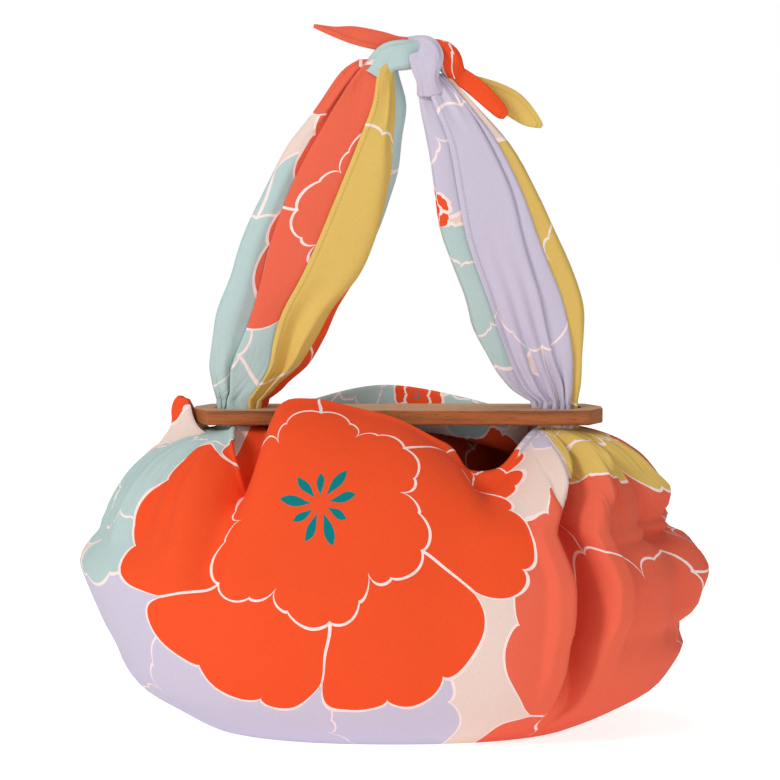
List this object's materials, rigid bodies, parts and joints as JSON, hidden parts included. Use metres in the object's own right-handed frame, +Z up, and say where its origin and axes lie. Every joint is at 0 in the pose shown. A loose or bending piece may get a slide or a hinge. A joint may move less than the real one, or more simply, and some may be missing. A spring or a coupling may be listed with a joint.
{
  "type": "furoshiki wrap on wooden handle plate",
  "caption": "Square cotton wrapping cloth tied as a bag: its corners pass up through holes in a wooden plate and are knotted above it as a handle.",
  "frame": {"origin": "centre of the footprint on the surface it rests on", "axes": "+Z up, +X to the right along the plate as seen in the picture, +Y away from the viewer"},
  "size_m": [0.4521, 0.2623, 0.5037],
  "materials": {
    "cloth": "smooth printed cotton with large coral, vermilion, lilac, mint and yellow petals outlined in off-white",
    "wood": "oiled oak, fine grain along its length, eased edges"
  },
  "bodies": {
    "root": {"cloth": "cloth", "wooden_plate": "wood"}
  },
  "joints": []
}
